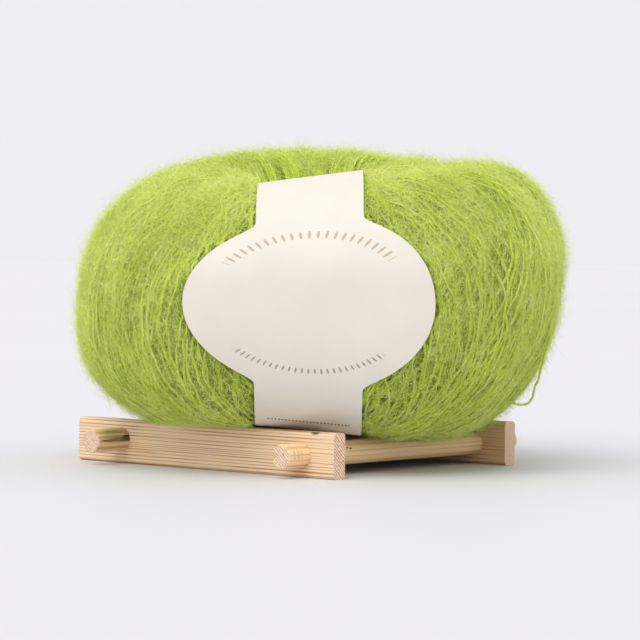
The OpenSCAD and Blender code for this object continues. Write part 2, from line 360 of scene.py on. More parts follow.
def split_peg(angle, size, y, radius):
    around = (angle + np.pi) % (2 * np.pi) - np.pi
    reach = np.clip((y - 0.0012) / 0.0138, 0, 1) * (y < 0.0205)
    line = 0.02 + 0.16 * reach + 0.03 * np.sin(900 * y)
    half = 0.03 + 0.26 * reach
    cut = np.clip(1 - np.abs(around - line) / half, 0, 1) ** 0.6 * np.clip(reach * 6, 0, 1)
    torn = np.clip(1 - np.abs(around - 0.75) / 0.5, 0, 1) * np.clip(reach * 4, 0, 1)
    ridges = 0.00016 * torn * (np.sin(55 * around + 260 * y) + np.sin(31 * around - 410 * y))
    fade = np.clip((0.0195 - y) / 0.004, 0, 1)
    size = (size - 0.0017 * cut * fade * (size > 0.6 * radius) + ridges * fade * (size > 0.9 * radius)
            - 0.0001 * torn * fade)
    front = np.clip(1 - y / 0.0012, 0, 1)
    y = y + front * (rough_end(angle, size, radius, 0.00012) + 0.0003 + 0.0004 * cut)
    return np.minimum(size, radius), np.maximum(y, 0)


def chipped_peg(angle, size, y, radius):
    around = angle - np.pi
    share = size / radius
    chip = np.exp(-(around / 0.32) ** 2) * np.clip(share - 0.35, 0, 1) * 1.6
    shelf = np.exp(-((angle - 5.2) / 0.5) ** 2) * np.clip(share - 0.5, 0, 1) * 1.2
    front = np.clip(1 - y / 0.0028, 0, 1)
    y = y + front * (0.0016 * chip + 0.0008 * shelf + 0.0003 + rough_end(angle, size, radius, 0.00012))
    size = size - 0.0007 * chip * front * (share > 0.8)
    return np.minimum(size, radius), np.maximum(y, 0)


left_dowel = dowel_piece("left_round", "left_dowel", split_peg)
right_dowel = dowel_piece("right_round", "right_dowel", chipped_peg)
left_low, left_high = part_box("left_dowel")
right_low, right_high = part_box("right_dowel")
left_axis = ((left_low[0] + left_high[0]) / 2, (left_low[2] + left_high[2]) / 2)
right_axis = ((right_low[0] + right_high[0]) / 2, (right_low[2] + right_high[2]) / 2)
round_pale = (0.90, 0.66, 0.40)
round_line = (0.58, 0.35, 0.17)
# Brown along the split: partly the split's own darker wood, partly painted shade inside the crack.
split_brown_and_shade = ((left_high[0] - 0.001, left_low[1] + 0.012, left_axis[1] + 0.0006), 0.0034,
               (1, 0.33, 1.5), (0.30, 0.16, 0.06))
# Near-black spot where the split meets the rail: painted shade in the crack's root.
split_root_shade = ((left_high[0] - 0.0006, front_low[1] - 0.001, left_axis[1] + 0.0012), 0.0022,
              (1, 0.8, 1.2), (0.05, 0.025, 0.012))
torn_olive = ((left_axis[0] + 0.003, left_low[1] + 0.009, left_high[2] - 0.001), 0.0045,
              (1, 0.5, 1), (0.42, 0.31, 0.14))
# Near-black dot: painted shade in an open pore on the peg's end.
left_pore_shade = ((left_axis[0] - 0.0028, left_low[1], left_axis[1] + 0.0004), 0.0004,
             (1, 1, 1), (0.03, 0.02, 0.01))
left_marks = [split_brown_and_shade, torn_olive, split_root_shade, left_pore_shade]
left_round_wood = wood_material("left_dowel_wood", (120, 4, 190), (2200, 40, 2200), round_pale,
                                round_line, (0.60, 0.45, 0.28), left_marks, 1,
                                (0.88, 0.68, 0.50), (0.58, 0.36, 0.22))
# Near-black dot: painted shade in an open pore on the peg's end.
right_pore_shade = ((right_axis[0] + 0.0014, right_low[1], right_axis[1] + 0.0008), 0.00045, (1, 1, 1),
              (0.02, 0.012, 0.008))
grey_marks = [((right_high[0] - 0.0005, right_low[1] + 0.003 + 0.0017 * i, right_axis[1] + 0.0006),
               0.0019, (1, 2.6, 0.9), (0.56, 0.42, 0.31)) for i in range(3)]
dark_specks = [((right_high[0] - 0.0003, front_high[1] + 0.013 + 0.0016 * i,
                 right_axis[1] + 0.0018 - 0.0003 * i),
                0.0006, (1, 0.7, 1.5), (0.05, 0.03, 0.015)) for i in range(2)]
right_round_wood = wood_material("right_dowel_wood", (120, 4, 160), (2200, 40, 2200), (0.97, 0.69, 0.37),
                                 round_line, (0.74, 0.56, 0.37), [right_pore_shade] + grey_marks + dark_specks, 1,
                                 (0.90, 0.70, 0.53), (0.60, 0.38, 0.23))
left_dowel.data.materials.append(left_round_wood)
right_dowel.data.materials.append(right_round_wood)

# Loose loop: a stretch of the ball's own strand that has sprung out at the right and hangs
# free before it goes back in below. The strand is a fine two-ply core that carries the fuzz.


def unit(v):
    return v / (np.linalg.norm(v, axis=-1, keepdims=True) + 1e-12)


def make_tubes(name, lines, radii, outward, sides, ply=0.0, bake_map=None):
    """Closed tubes along lines (tube, point, 3); ply is the share by which two twisted plies show."""
    count, length = lines.shape[:2]
    along = unit(np.gradient(lines, axis=1))
    out = unit(outward - along * np.sum(outward * along, axis=-1, keepdims=True))
    side = np.cross(along, out)
    angle = np.arange(sides) * 2 * np.pi / sides
    twist = np.arange(length)[None, :, None] * 0.9
    size = radii[..., None] * (1 + ply * np.cos(2 * (angle[None, None, :] - twist)))
    ring = out[:, :, None] * np.cos(angle)[:, None] + side[:, :, None] * np.sin(angle)[:, None]
    points = (lines[:, :, None] + ring * size[..., None]).reshape(-1, 3)
    first = (np.arange(count)[:, None, None] * length + np.arange(length - 1)[None, :, None]) * sides
    here, after = np.arange(sides), (np.arange(sides) + 1) % sides
    quads = np.stack([first + here, first + after, first + after + sides, first + here + sides], -1)
    fan = np.stack([np.zeros(sides - 2, int), np.arange(1, sides - 1), np.arange(2, sides)], -1)
    ends = np.arange(count)[:, None, None] * length * sides
    caps = np.concatenate([(ends + fan[:, ::-1]).reshape(-1, 3),
                           (ends + (length - 1) * sides + fan).reshape(-1, 3)])
    mapped = None if bake_map is None else np.repeat(bake_map.reshape(-1, 2), sides, axis=0)
    return make_mesh(name, points, quads.reshape(-1, 4), caps, mapped)


def smooth_line(points, count):
    """A Catmull-Rom curve through the points, at evenly spaced steps."""
    p = np.vstack([2 * points[0] - points[1], points, 2 * points[-1] - points[-2]])
    spans = len(points) - 1
    at = np.linspace(0, spans - 1e-9, count)
    i = at.astype(int)
    t = (at - i)[:, None]
    a, b, c, d = p[i], p[i + 1], p[i + 2], p[i + 3]
    return 0.5 * (2 * b + (c - a) * t + (2 * a - 5 * b + 4 * c - d) * t**2
                  + (3 * b - a - 3 * c + d) * t**3)


loop_route = np.array([
    [71.5, 37, 45], [73, 34.5, 43.5], [74, 32, 42], [75, 30, 40], [75, 29, 38.5],
    [75, 28.5, 36.5], [74.5, 28, 34.5], [74, 28, 32.5], [73, 28.5, 30.5], [72, 28.5, 29],
    [71.5, 28.5, 27.5], [71, 28.5, 25.5], [70.5, 28.5, 24.5], [69.5, 28, 23], [68.5, 27, 22.5],
    [67.5, 25.5, 22.5], [66.5, 23.5, 23], [65.5, 22.5, 23.5], [63.5, 22, 24]]) / 1000
loop_line = smooth_line(loop_route, 90)
loop_outward = np.broadcast_to([0.75, -0.62, 0.2], loop_line[None].shape)
sprung_loop = make_tubes("sprung_loop", loop_line[None], np.full((1, 90), 0.0004), loop_outward, 12, 0.16)
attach(sprung_loop, "ball")
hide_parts("loose_loop")


def dyed_yarn_group():
    """The dye takes unevenly, in cloudy patches and in short flecks along a strand."""
    group, inside, outside = new_group("dyed_yarn", [("Dark", "Color"), ("Mid", "Color"), ("Light", "Color")],
                                       [("Colour", "Color"), ("Height", "Float")])
    place = stretched(group, (1, 1, 1))
    cloud = noise(group, place, 45, 2)
    fleck = noise(group, place, 900, 3, 0.65)
    low = maths(group, "MULTIPLY", maths(group, "SUBTRACT", cloud, 0.35), 2.6, True)
    high = maths(group, "MULTIPLY", maths(group, "SUBTRACT", fleck, 0.45), 3.5, True)
    base = blend_colours(group, low, inside.outputs["Dark"], inside.outputs["Mid"])
    top = blend_colours(group, high, base, inside.outputs["Light"])
    group.links.new(top, outside.inputs["Colour"])
    group.links.new(fleck, outside.inputs["Height"])
    return group


dyed_yarn = dyed_yarn_group()


def yarn_material(name, dark, mid, light, bump=0.3, sheen=0.5):
    material, tree, shader = new_material(name)
    dyed = placed(tree, dyed_yarn, Dark=dark, Mid=mid, Light=light)
    tree.links.new(dyed["Colour"], shader.inputs["Base Color"])
    relief = add(tree, "Bump", Height=dyed["Height"], Strength=bump, Distance=0.0003)
    tree.links.new(relief.outputs[0], shader.inputs["Normal"])
    shader.inputs["Roughness"].default_value = 0.85
    shader.inputs["Sheen Weight"].default_value = sheen
    shader.inputs["Sheen Roughness"].default_value = 0.5
    shader.inputs["Sheen Tint"].default_value = (0.85, 1.0, 0.5, 1)
    shader.inputs["Specular IOR Level"].default_value = 0.2
    return material


strand_green = yarn_material("strand_green", (0.42, 0.53, 0.036), (0.58, 0.71, 0.07), (0.72, 0.84, 0.14))
sprung_loop.data.materials.append(strand_green)

# Ball: one long brushed strand, wound round and round a flat slit so that every wrap goes over
# the crown, down the outside and back in below. The sizes are millimetres in the ball's own
# frame: u along the card, w through it away from the card, z up from the table.
ball_width = 165
ball_depth = 145
ball_height = 99
belly_z = 9.5
middle_z = belly_z + ball_height / 2
crown_radius = 34
slit_length = 46
slit_width = 5
band_offset = -3.6
ball_turn = math.radians(41.5)
ball_middle = stand_middle + np.array([0.011, -0.0005, 0])


def smooth(t):
    c = np.clip(t, 0, 1)
    return c * c * (3 - 2 * c)


def plan_radius(turn, half_u, half_w, power):
    return (np.abs(np.cos(turn) / half_u) ** power + np.abs(np.sin(turn) / half_w) ** power) ** (-1 / power)


def skin(turn, lift):
    """The ball's surface: turn goes round the upright axis, lift round the ring's section."""
    outer = plan_radius(turn, ball_width / 2, ball_depth / 2, 2.25)
    inner = plan_radius(turn, slit_length / 2, slit_width / 2, 8)
    outside, above = np.cos(lift) >= 0, np.sin(lift) >= 0
    power = np.where(outside, np.where(above, 1.98 - 0.22 * np.cos(turn), 2.75 - 0.15 * np.cos(turn)), 2.6)
    size = (np.abs(np.cos(lift)) ** power + np.abs(np.sin(lift)) ** power) ** (1 / power)
    across, up = np.cos(lift) / size, np.sin(lift) / size
    equator = middle_z + 4 + 8 * np.cos(turn)
    crown = belly_z + ball_height - 1.8 * (1 - np.sin(turn)) - 0.4 * (1 + np.cos(turn))
    r = crown_radius + across * np.where(outside, outer - crown_radius, crown_radius - inner)
    z = equator + up * np.where(above, crown - equator, equator - belly_z)
    u, w = r * np.cos(turn), r * np.sin(turn)
    grip = smooth((4 - w) / 16) / (1 + np.abs((u - band_offset) / 30) ** 4)
    above_middle = z - middle_z
    z = z - np.where(above_middle > 0, 7.5, 5) * grip * above_middle / (ball_height / 2)
    w = w + 3.5 * grip * smooth(-w / (ball_depth / 2))
    return np.stack([u, w, z], -1)


# The card band's line in the upright plane through the ball. The card is stiff, so the yarn
# beneath it is held down to this line.
band_steps = 240
band_lift = np.radians(180 - 360 * np.arange(band_steps) / band_steps)
band_line = skin(np.full(band_steps, -np.pi / 2), band_lift)[:, 1:]
band_edge = np.roll(band_line, -1, 0) - np.roll(band_line, 1, 0)
band_normal = unit(np.stack([band_edge[:, 1], -band_edge[:, 0]], -1))
band_run = np.concatenate([[0], np.cumsum(np.linalg.norm(np.diff(band_line, axis=0), axis=1))])
front_part = np.arange(band_steps // 4, 3 * band_steps // 4 + 1)
oval_run = np.interp(-57, -band_line[front_part, 1], band_run[front_part])
oval_share = np.clip(1 - ((band_run - oval_run) / 28.5) ** 2, 0, 1)
band_half = (17.5**6 + (40.5 * np.sqrt(oval_share)) ** 6) ** (1 / 6)
heart = np.array([-38.0, 59.0])
heart_angle = np.arctan2(band_line[:, 1] - heart[1], band_line[:, 0] - heart[0])
heart_far = np.linalg.norm(band_line - heart, axis=1)
by_angle = np.argsort(heart_angle)


flare_above, flare_below = 0.0034, 0.002


def card_slope(p):
    """The card's top rises, and its foot falls, a little towards its right edge."""
    side = np.clip(p[..., 0] - band_offset, -24, 24)
    return 1 + np.where(p[..., 2] > middle_z, flare_above, flare_below) * side


def under_card(p):
    """How far a point stands outside the band's line, and how far it is beyond the card's edge."""
    level = middle_z + (p[..., 2] - middle_z) / card_slope(p)
    rel = np.stack([p[..., 1], level], -1) - heart
    angle = np.arctan2(rel[..., 1], rel[..., 0])
    line = np.interp(angle, heart_angle[by_angle], heart_far[by_angle], period=2 * np.pi)
    half = np.interp(angle, heart_angle[by_angle], band_half[by_angle], period=2 * np.pi)
    return np.linalg.norm(rel, axis=-1) - line, np.abs(p[..., 0] - band_offset) - half


def pressed(p, depth):
    """Yarn is held down under the card, and swells up beside its edges."""
    out, beyond = under_card(p)
    near = smooth((26 - np.abs(out)) / 10)
    swell = smooth(1 - beyond / 13) * np.clip(-depth - 0.2 - out, 0, None) * 0.85
    level = out + swell
    limit = -depth + 1.15 * np.clip(beyond - 0.3, 0, None)
    level = np.minimum(level, limit)
    rel = p[..., 1:] - heart
    shift = unit(rel) * ((level - out) * near)[..., None]
    moved = p.copy()
    moved[..., 1] += shift[..., 0]
    moved[..., 2] += shift[..., 1] * card_slope(p)
    return moved


def on_stand(p, rest=0.0):
    """From the ball's frame to the stand's, in metres; yarn rests on the rails and dowels."""
    c, s = math.cos(ball_turn), math.sin(ball_turn)
    x = (p[..., 0] * c - p[..., 1] * s) / 1000 + ball_middle[0]
    y = (p[..., 0] * s + p[..., 1] * c) / 1000 + ball_middle[1]
    z = p[..., 2] / 1000
    rest = rest / 1000
    on_rails = (np.abs(y - stand_middle[1]) > rear_low[1] - stand_middle[1] - 0.0004) & (
        np.abs(x - stand_middle[0]) < (front_high[0] - front_low[0]) / 2 + 0.0005)
    z = np.where(on_rails, np.maximum(z, front_high[2] + 0.0003 + rest), z)
    for axis_x, axis_z in (left_axis, right_axis):
        far = np.hypot(x - axis_x, z - axis_z) + 1e-9
        push = np.maximum(0.0043 + rest - far, 0)
        x = x + (x - axis_x) / far * push
        z = z + np.maximum(z - axis_z, 0.2 * far) / far * push
    return np.stack([x, y, np.maximum(z, 0.0005)], -1)


def skin_frame(turn, lift):
    """Skin points with their outward normals and the direction that a wrap runs in."""
    here = skin(turn, lift)
    round_step = skin(turn + 0.01, lift) - skin(turn - 0.01, lift)
    wrap_step = skin(turn, lift + 0.01) - skin(turn, lift - 0.01)
    return here, unit(np.cross(round_step, wrap_step)), unit(wrap_step)


loop_at = loop_line[45] - ball_middle
loop_turn = math.atan2(-loop_at[0] * math.sin(ball_turn) + loop_at[1] * math.cos(ball_turn),
                       loop_at[0] * math.cos(ball_turn) + loop_at[1] * math.sin(ball_turn))


def folds(turn, lift):
    """How far slack bundles rise and sink: a fold on each side of the card, and shallow ones all round."""
    from_card = (turn + np.pi / 2 + np.pi) % (2 * np.pi) - np.pi
    beside = np.where(np.cos(lift) > -0.2, 1.0, 0.0) * smooth(np.sin(lift + 0.9) + 0.2)
    right = -2.4 * np.exp(-((from_card - 0.80 - 0.1 * np.sin(lift)) / 0.075) ** 2) * beside
    shoulder = 1.5 * np.exp(-((from_card - 1.02) / 0.16) ** 2) * beside
    left = -1.3 * np.exp(-((from_card + 1.05 + 0.12 * np.sin(lift)) / 0.09) ** 2) * beside
    slack = 0.9 * np.sin(7 * turn + 2 * np.sin(2 * lift)) * np.cos(lift - 0.6) + 0.7 * np.sin(
        13 * turn + 1.3 + 3 * np.sin(lift)) * np.sin(lift + 0.4) + 0.55 * np.sin(
        31 * turn + 4 * np.sin(1.5 * lift + turn)) * np.cos(0.8 * lift)
    right_end, left_end = smooth(np.cos(turn)), smooth(-np.cos(turn))
    upper = np.exp(-((lift - 0.85) / 0.42) ** 2)
    lower = np.exp(-((lift + 0.85) / 0.38) ** 2)
    crest = np.exp(-((lift - 1.38) / 0.32) ** 2)
    slump = upper * (4.2 * right_end - 3.2 * left_end) - lower * (3.0 * right_end + 4.6 * left_end)
    slump = slump - crest * (4.6 * right_end + 3.2 * left_end)
    from_loop = (turn - loop_turn + np.pi) % (2 * np.pi) - np.pi
    hollow = -2.6 * np.exp(-(from_loop / 0.17) ** 2 - ((lift + 0.62) / 0.34) ** 2)
    return right + shoulder + left + slack + slump + hollow


def splayed(turn, lift):
    """The wraps beside the card bow outwards round its oval panel."""
    from_card = (turn + np.pi / 2 + np.pi) % (2 * np.pi) - np.pi
    return turn + 0.95 * np.clip(np.cos(lift), 0, 1) * from_card * np.exp(-(from_card / 0.8) ** 2)


def bake_place(turn, lift):
    return np.stack([turn / (2 * np.pi) % 1, lift / (2 * np.pi) + 0.5], -1) * 0.98 + 0.01


# Inner layers: the imported wraps beneath, seen only between the outer ones, where their dark green is
# painted shade. They are one ribbed skin, folded and pressed in the same way as the wraps that lie on it.
body_around, body_across = 300, 150
turn, lift = np.meshgrid(np.arange(body_around) * 2 * np.pi / body_around,
                         np.arange(body_across) * 2 * np.pi / body_across - np.pi, indexing="ij")
here, outward, _ = skin_frame(turn, lift)
ridges = 0.35 * np.sin(turn * 120 + 3 * np.sin(lift * 2 + turn * 3)) * smooth(np.cos(lift) + 0.9)
here = pressed(here + outward * (ridges + folds(turn, lift) - 2.2)[..., None], 1.6)
body_points = on_stand(here, 0.6)
i, j = np.meshgrid(np.arange(body_around), np.arange(body_across), indexing="ij")
ni, nj = (i + 1) % body_around, (j + 1) % body_across
quads = np.stack([i * body_across + j, ni * body_across + j, ni * body_across + nj, i * body_across + nj], -1)
packed_yarn = make_mesh("packed_wraps", body_points.reshape(-1, 3), quads.reshape(-1, 4),
                        bake_map=bake_place(turn, lift).reshape(-1, 2))
# A much darker copy of the yarn colour: painted shade between the wraps.
painted_shade_green = yarn_material("painted_shade_green", (0.13, 0.175, 0.010), (0.23, 0.30, 0.020),
                            (0.38, 0.45, 0.055), 0.6, 0.3)
packed_yarn.data.materials.append(painted_shade_green)
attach(packed_yarn, "ball")
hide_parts("outer_winding")


# Visible wraps: three layers of the strand, laid in bundles that lean across each other. Each
# wrap is a crimped thread that goes over the crown, down the outside and in below. The deep layer's
# colour is painted darker and the top layer's lighter: painted shade and painted light.


def wraps(name, seed, bundles, per_bundle, height, slants, radius, sides, steps):
    """Bundles of wraps laid side by side: each bundle leans its own way across the ball."""
    dice = np.random.default_rng(seed)
    starts = (np.arange(bundles) + dice.uniform(-0.35, 0.35, bundles)) * 2 * np.pi / bundles
    lean = dice.choice(slants, bundles) * dice.uniform(0.6, 1.3, bundles)
    tall = dice.uniform(-0.9, 0.8, bundles)
    pitch = 2 * np.pi / bundles / per_bundle
    beside = np.tile(np.arange(per_bundle) - per_bundle / 2, bundles)
    first = np.repeat(starts, per_bundle) + beside * pitch * 1.12
    first = first + dice.normal(0, 0.15 * pitch, first.shape)
    lean = np.repeat(lean, per_bundle) + dice.normal(0, 0.02, first.shape)
    tall = np.repeat(tall, per_bundle) + dice.uniform(-0.25, 0.25, first.shape)
    t = np.linspace(-1, 1, steps)
    lift = np.broadcast_to(t * 2.95, (len(first), steps))
    phase = dice.uniform(0, 6.28, (len(first), 3))
    sway = sum(0.012 / (k + 1) * np.sin((k + 2) * 1.7 * lift + phase[:, k:k + 1]) for k in range(3))
    sway = sway + 0.003 * np.sin(22 * lift + 2 * phase[:, :1])
    sway = sway + 0.002 * np.sin(37 * lift + 2 * phase[:, 1:2])
    turn = splayed(first[:, None] + lean[:, None] * np.sin(lift / 2) + sway, lift)
    here, outward, _ = skin_frame(turn, lift)
    bumps = 0.25 * np.sin(lift * 9 + phase[:, :1]) + 0.2 * np.sin(lift * 23 + phase[:, 1:2])
    line = pressed(here + outward * (height + tall[:, None] + bumps + folds(turn, lift))[..., None], 0.8)
    slub = 1 + 0.22 * np.sin(lift * 31 + phase[:, 2:3]) + 0.15 * np.sin(lift * 67 + phase[:, :1])
    radii = radius * slub * dice.uniform(0.8, 1.2, (len(first), 1)) * np.clip((1.02 - np.abs(t)) * 9, 0.05, 1)
    piece = make_tubes(name, on_stand(line, radius), radii / 1000, turned(outward), sides, 0.12,
                       bake_place(turn, lift))
    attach(piece, "ball")
    return piece, (line, outward, turn, lift)


def turned(v):
    """A direction in the ball's frame, turned to the stand's."""
    c, s = math.cos(ball_turn), math.sin(ball_turn)
    return np.stack([v[..., 0] * c - v[..., 1] * s, v[..., 0] * s + v[..., 1] * c, v[..., 2]], -1)


# The deep layer's yarn colour is a darker copy: painted shade under the outer wraps.
deep_wraps, deep_lay = wraps("deep_wraps", 3, 34, 7, -1.5, (-0.45, 0.4), 0.62, 4, 96)
deep_wraps.data.materials.append(yarn_material("deep_green_painted_shade", (0.28, 0.37, 0.020), (0.44, 0.55, 0.042),
                                               (0.59, 0.71, 0.08)))
outer_wraps, outer_lay = wraps("outer_wraps", 8, 40, 6, -0.8, (-0.2, 0.12, 0.26), 0.42, 4, 100)
outer_wraps.data.materials.append(strand_green)
top_wraps, top_lay = wraps("top_wraps", 15, 26, 4, -0.45, (-0.3, 0.1, 0.24), 0.28, 5, 110)
# A lighter copy of the yarn colour for the top layer: painted light.
painted_light_green = yarn_material("painted_light_green", (0.50, 0.60, 0.07), (0.64, 0.75, 0.12), (0.77, 0.87, 0.22))
top_wraps.data.materials.append(painted_light_green)

# Core winding: the first wraps, laid close round the winding pin. They line the slit that the
# pin left, and both eyes open onto them.
dice = np.random.default_rng(4)
core_turn = np.arange(110) * 2 * np.pi / 110 + dice.normal(0, 0.01, 110)
core_t = np.linspace(-0.62, 0.62, 26)
core_lift = np.broadcast_to(np.pi + core_t * 1.35, (110, 26))
core_turn = core_turn[:, None] + 0.5 * core_t
here, outward, _ = skin_frame(core_turn, core_lift)
core_line = on_stand(here - outward * 0.55, 0)
core_radii = np.full((110, 26), 0.0005) * np.clip((0.64 - np.abs(core_t)) * 20, 0.1, 1)
core_wraps = make_tubes("core_wraps", core_line, core_radii, turned(outward), 6, 0.12,
                        bake_place(core_turn, core_lift))
# The core wraps take the deep layer's darker colour: painted shade in the slit.
core_wraps.data.materials.append(deep_wraps.data.materials[0])
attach(core_wraps, "ball")
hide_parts("core_winding")

# Brushed halo: the strand is brushed when it is made, so fine fibres stand out all over it. Most
# lie along the wraps, many curl up off them, and a few long ones stray.
spot_turn, spot_lift = np.meshgrid((np.arange(240) + 0.5) * 2 * np.pi / 240,
                                   (np.arange(120) + 0.5) * 2 * np.pi / 120 - np.pi, indexing="ij")
half_turn, half_lift = np.pi / 240, np.pi / 120
corner = skin(spot_turn - half_turn, spot_lift - half_lift)
edge_a = skin(spot_turn + half_turn, spot_lift - half_lift) - corner
edge_b = skin(spot_turn - half_turn, spot_lift + half_lift) - corner
spot_area = np.linalg.norm(np.cross(edge_a, edge_b), axis=-1) * (np.cos(spot_lift) > -0.8)
# Fibres grow denser towards the top. With their painted-light colours, this also makes the top of the ball
# lighter.
spot_area = spot_area * (0.30 + 0.70 * smooth((np.sin(spot_lift) + 0.75) / 1.5))
spot_share = (spot_area / spot_area.sum()).ravel()


def halo(name, seed, count, length, rise, curl, width, material, segments=5):
    """Fibres that start all over the ball's skin, some lying down and some climbing as they curl."""
    dice = np.random.default_rng(seed)
    pick = dice.choice(len(spot_share), count, p=spot_share)
    turn = spot_turn.ravel()[pick] + dice.uniform(-half_turn, half_turn, count)
    lift = spot_lift.ravel()[pick] + dice.uniform(-half_lift, half_lift, count)
    here, outward, wrap = skin_frame(turn, lift)
    here = pressed(here + outward * (folds(turn, lift) + dice.uniform(-1.3, 0.1, count))[:, None], 0.5)
    side = np.cross(outward, wrap)
    heading = dice.normal(0, 0.9, count) + np.pi * dice.integers(0, 2, count)
    run = wrap * np.cos(heading)[:, None] + side * np.sin(heading)[:, None]
    cross = np.cross(outward, run)
    size = length * dice.lognormal(0, 0.35, count)
    climb = rise * dice.beta(1.3, 3.0, count) * 2.4
    t = np.linspace(0, 1, segments + 1)
    bend = dice.normal(0, 1, (count, 3))
    phase = dice.uniform(0, 6.28, (count, 2))
    up = climb[:, None] * (t - 0.45 * t**2) * 1.6 + curl * 0.5 * t * np.sin(5 * t + phase[:, :1])
    sway = curl * (bend[:, :1] * t**2 * 1.5 + 0.6 * t * np.sin(6 * t + phase[:, 1:2]))
    curve = np.abs(bend[:, 1:2])
    ahead = size[:, None] * np.sin(t * (1.0 + 0.5 * curve)) / (1.0 + 0.3 * curve)
    line = (here[:, None] + run[:, None] * ahead[..., None] + outward[:, None] * up[..., None]
            + cross[:, None] * sway[..., None])
    keep = over_card(line)
    return fibre_strips(name, dice, line[keep], outward[keep], turn[keep], lift[keep], width, material)


def over_card(line):
    """Keeps the fibres that don't start under the card or lie far across its face."""
    out, beyond = under_card(line)
    card_side = (np.abs(out) < 14) & (line[..., 1] < 0)
    covered = np.max(np.where(card_side, -beyond, -9), axis=1)
    return (covered < 1.4) & ~(card_side & (beyond < 0.4))[:, 0]


def fibre_strips(name, dice, line, outward, turn, lift, width, material):
    """Fine tapered strips along the lines, each turned its own way."""
    count, length = line.shape[:2]
    t = np.linspace(0, 1, length)
    line = on_stand(line, 0)
    along = unit(np.gradient(line, axis=1))
    facing = dice.normal(0, 1, (count, 1, 3)) + 0.8 * turned(outward)[:, None]
    flat = unit(np.cross(along, facing))
    taper = width / 2000 * (1 - 0.75 * t) * dice.uniform(0.6, 1.3, (count, 1))
    points = np.stack([line - flat * taper[..., None], line + flat * taper[..., None]], 2).reshape(-1, 3)
    first = (np.arange(count)[:, None] * length + np.arange(length - 1)) * 2
    quads = np.stack([first, first + 1, first + 3, first + 2], -1).reshape(-1, 4)
    mapped = np.repeat(bake_place(turn, lift), length * 2, axis=0)
    own_place = np.stack([np.tile([0, 1], length), np.repeat(t, 2)], -1) * 0.002
    mapped = mapped + np.tile(own_place, (count, 1))
    piece = make_mesh(name, points, quads, bake_map=mapped)
    piece.data.materials.append(material)
    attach(piece, "ball")
    return piece


def brushed(name, seed, lay, count, spread, width, material):
    """Fibres that hug the wraps they grow from, so that each wrap reads as a soft roving."""
    dice = np.random.default_rng(seed)
    line, outward, turn, lift = lay
    wraps_here, steps = line.shape[:2]
    strand = dice.integers(0, wraps_here, count)
    start = dice.uniform(0.08, 0.88, count) * (steps - 1)
    at = start[:, None] + np.linspace(0, 1, 6) * dice.uniform(0.9, 2.2, (count, 1))
    i = np.clip(at.astype(int), 0, steps - 2)
    f = (at - i)[..., None]
    who = strand[:, None]
    path = line[who, i] * (1 - f) + line[who, i + 1] * f
    out = outward[who, i]
    along = unit(np.gradient(path, axis=1))
    side = np.cross(out, along)
    angle = dice.uniform(0, 2 * np.pi, (count, 1)) + np.linspace(0, 1, 6) * dice.normal(0, 2.0, (count, 1))
    far = spread * (0.35 + np.linspace(-1, 1, 6) ** 2 * dice.uniform(0.1, 1.2, (count, 1)))
    path = (path + out * (far * np.abs(np.cos(angle)))[..., None]
            + side * (far * 1.3 * np.sin(angle))[..., None])
    keep = over_card(path)
    first = start.astype(int)
    return fibre_strips(name, dice, path[keep], out[keep][:, 0], turn[strand, first][keep],
                        lift[strand, first][keep], width, material)


# The fibre colours are lighter copies of the yarn colour: painted light on the fuzz, lightest on raised and
# stray fibres.
fibre_mid_painted_light = yarn_material("fibre_mid_painted_light", (0.56, 0.67, 0.05), (0.71, 0.83, 0.10), (0.84, 0.93, 0.19), 0.0, 0.6)
fibre_painted_light = yarn_material("fibre_painted_light", (0.74, 0.83, 0.19), (0.85, 0.92, 0.31), (0.92, 0.96, 0.47),
                            0.0, 1.0)
fibres = 19500
brushed("deep_fuzz", 21, deep_lay, fibres, 0.9, 0.12, deep_wraps.data.materials[0])
brushed("outer_fuzz_0", 22, outer_lay, fibres, 0.75, 0.10, fibre_mid_painted_light)
brushed("outer_fuzz_1", 23, outer_lay, fibres, 1.0, 0.10, strand_green)
brushed("top_fuzz_0", 24, top_lay, fibres, 0.8, 0.09, fibre_painted_light)
brushed("top_fuzz_1", 25, top_lay, fibres, 0.7, 0.10, fibre_mid_painted_light)
for k in range(5):
    halo("lying_fuzz_%d" % k, 40 + k, fibres, 6.0, 1.2, 2.2, 0.11, fibre_mid_painted_light)
for k in range(6):
    halo("raised_fuzz_%d" % k, 60 + k, fibres, 5.5, 2.6, 2.2, 0.07, fibre_painted_light)
halo("stray_fuzz", 80, 5200, 10.0, 5.0, 2.6, 0.06, fibre_painted_light, 9)

# Card band: a strip of cream card with an oval panel, passed through the slit and glued to
# itself there. It carries two curved rows of plain marks and a fine row near the foot.
across_steps = 44
card_clear = 0.2
card_thick = 0.4
share = np.sin(np.linspace(-np.pi / 2, np.pi / 2, across_steps + 1))
u = band_half[:, None] * share


def card_face(out, inset):
    line = band_line + band_normal * out
    side = u - np.sign(u) * inset * (np.abs(share) > 0.999)
    up = line[:, 1] - middle_z
    flare = np.where(up > 0, flare_above, flare_below)
    z = middle_z + up[:, None] * (1 + flare[:, None] * side)
    w = np.broadcast_to(line[:, :1], side.shape)
    return np.stack([side + band_offset, w, z], -1)


